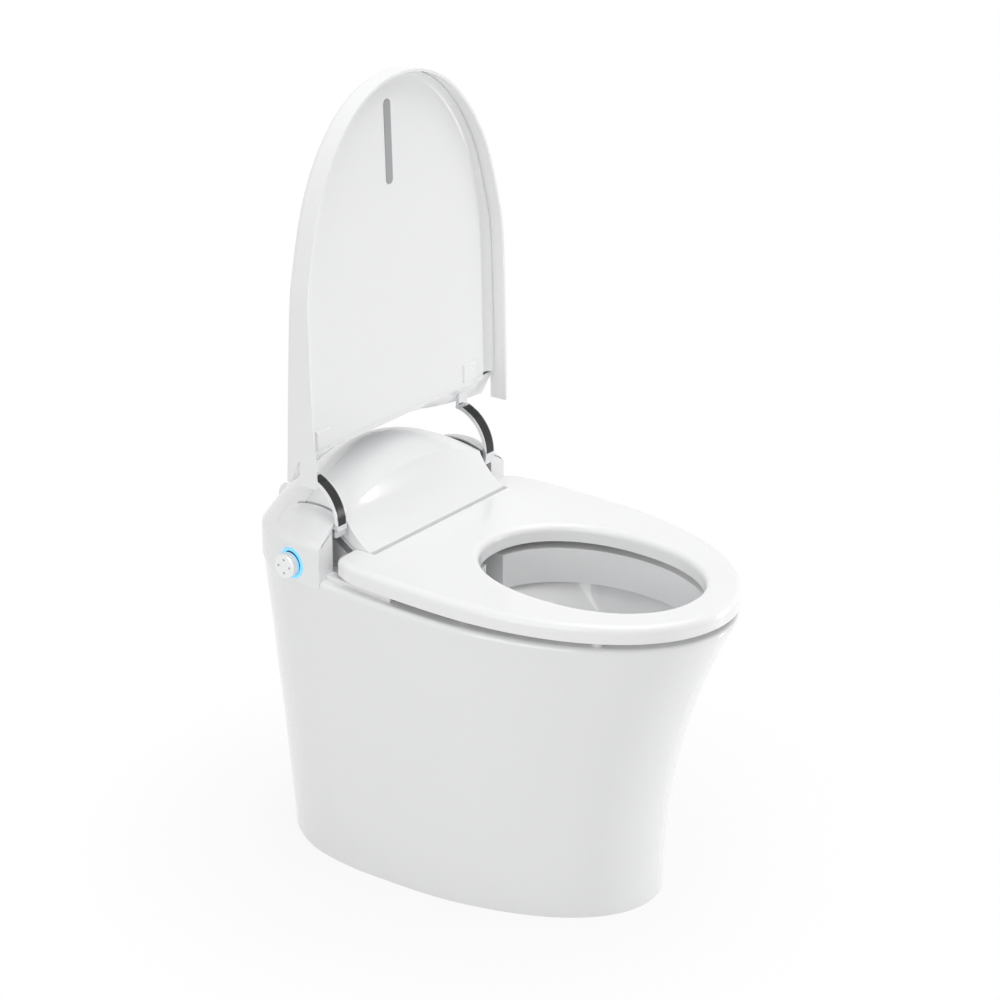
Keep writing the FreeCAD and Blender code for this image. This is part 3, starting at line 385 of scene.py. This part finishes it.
def by_ray(tree, seen, other):
    """Mix two shaders: seen for camera, glossy and transmitted rays, other for the rest."""
    nodes, links = tree.nodes, tree.links
    path = nodes.new("ShaderNodeLightPath")
    first = nodes.new("ShaderNodeMath")
    first.operation = "MAXIMUM"
    links.new(path.outputs["Is Camera Ray"], first.inputs[0])
    links.new(path.outputs["Is Glossy Ray"], first.inputs[1])
    both = nodes.new("ShaderNodeMath")
    both.operation = "MAXIMUM"
    links.new(first.outputs[0], both.inputs[0])
    links.new(path.outputs["Is Transmission Ray"], both.inputs[1])
    mix = nodes.new("ShaderNodeMixShader")
    links.new(both.outputs[0], mix.inputs["Fac"])
    links.new(other, mix.inputs[1])
    links.new(seen, mix.inputs[2])
    return mix.outputs["Shader"]


def make_world():
    """Even light all round, seen as plain white."""
    world = bpy.data.worlds.new("studio")
    bpy.context.scene.world = world
    world.use_nodes = True
    tree = world.node_tree
    light = tree.nodes["Background"]
    light.inputs["Color"].default_value = WHITE
    light.inputs["Strength"].default_value = WORLD_LIGHT
    white = tree.nodes.new("ShaderNodeBackground")
    white.inputs["Color"].default_value = WHITE
    white.inputs["Strength"].default_value = 1.0
    shown = by_ray(tree, white.outputs["Background"], light.outputs["Background"])
    tree.links.new(shown, tree.nodes["World Output"].inputs["Surface"])


def make_floor():
    """Pale floor that keeps a soft contact shadow near the object and runs out to plain white."""
    bpy.ops.mesh.primitive_circle_add(vertices=FLOOR_SIDES, radius=FLOOR_RADIUS, fill_type="NGON",
                                      location=(0, 0, 0))
    floor = bpy.context.object
    floor.name = "studio_floor"
    mat, tree, shader = principled("floor_white", FLOOR_COLOUR, FLOOR_ROUGHNESS)
    nodes, links = tree.nodes, tree.links
    glow = nodes.new("ShaderNodeEmission")
    glow.inputs["Color"].default_value = WHITE
    glow.inputs["Strength"].default_value = 1.0
    coords = nodes.new("ShaderNodeTexCoord")
    length = nodes.new("ShaderNodeVectorMath")
    length.operation = "LENGTH"
    links.new(coords.outputs["Object"], length.inputs[0])
    fade = nodes.new("ShaderNodeMapRange")
    fade.inputs["From Min"].default_value, fade.inputs["From Max"].default_value = FLOOR_FADE
    fade.inputs["To Min"].default_value, fade.inputs["To Max"].default_value = FLOOR_GLOW
    links.new(length.outputs["Value"], fade.inputs["Value"])
    shown = nodes.new("ShaderNodeMixShader")
    links.new(fade.outputs["Result"], shown.inputs["Fac"])
    links.new(shader.outputs["BSDF"], shown.inputs[1])
    links.new(glow.outputs["Emission"], shown.inputs[2])
    final = by_ray(tree, shown.outputs["Shader"], shader.outputs["BSDF"])
    links.new(final, nodes["Material Output"].inputs["Surface"])
    floor.data.materials.append(mat)


def lamp(name, place, target, size, power):
    """A rectangular lamp at place that faces target; the camera doesn't see it."""
    data = bpy.data.lights.new(name, "AREA")
    data.shape = "RECTANGLE"
    data.size, data.size_y = size
    data.energy = power
    obj = bpy.data.objects.new(name, data)
    bpy.context.scene.collection.objects.link(obj)
    obj.location = place
    obj.rotation_euler = (Vector(target) - Vector(place)).to_track_quat("-Z", "Y").to_euler()
    obj.visible_camera = False


def make_lamps():
    """A soft top light, a broad side light, and a narrow strip for the streak on the front of the skirt."""
    lamp("top", (0.1, -0.6, 3.0), (0, -0.1, 0.4), (2.4, 2.4), 34)
    lamp("side", (-3.0, -0.2, 1.1), (0, 0, 0.3), (1.8, 1.8), 18)
    lamp("strip", (0.75, -1.0, 0.30), (0.1, -0.2, 0.22), (0.12, 0.6), 3.6)


def make_camera():
    """The camera that was fitted to the photograph."""
    data = bpy.data.cameras.new("camera")
    data.lens, data.sensor_width, data.clip_end = LENS_MM, SENSOR_MM, FAR_CLIP
    cam = bpy.data.objects.new("camera", data)
    scene = bpy.context.scene
    scene.collection.objects.link(cam)
    cam.location = CAMERA_PLACE
    cam.rotation_euler = (math.radians(CAMERA_TILT), 0, math.radians(CAMERA_HEADING))
    scene.camera = cam


bpy.context.scene.view_settings.view_transform = "Standard"
make_world()
make_floor()
make_lamps()
make_camera()
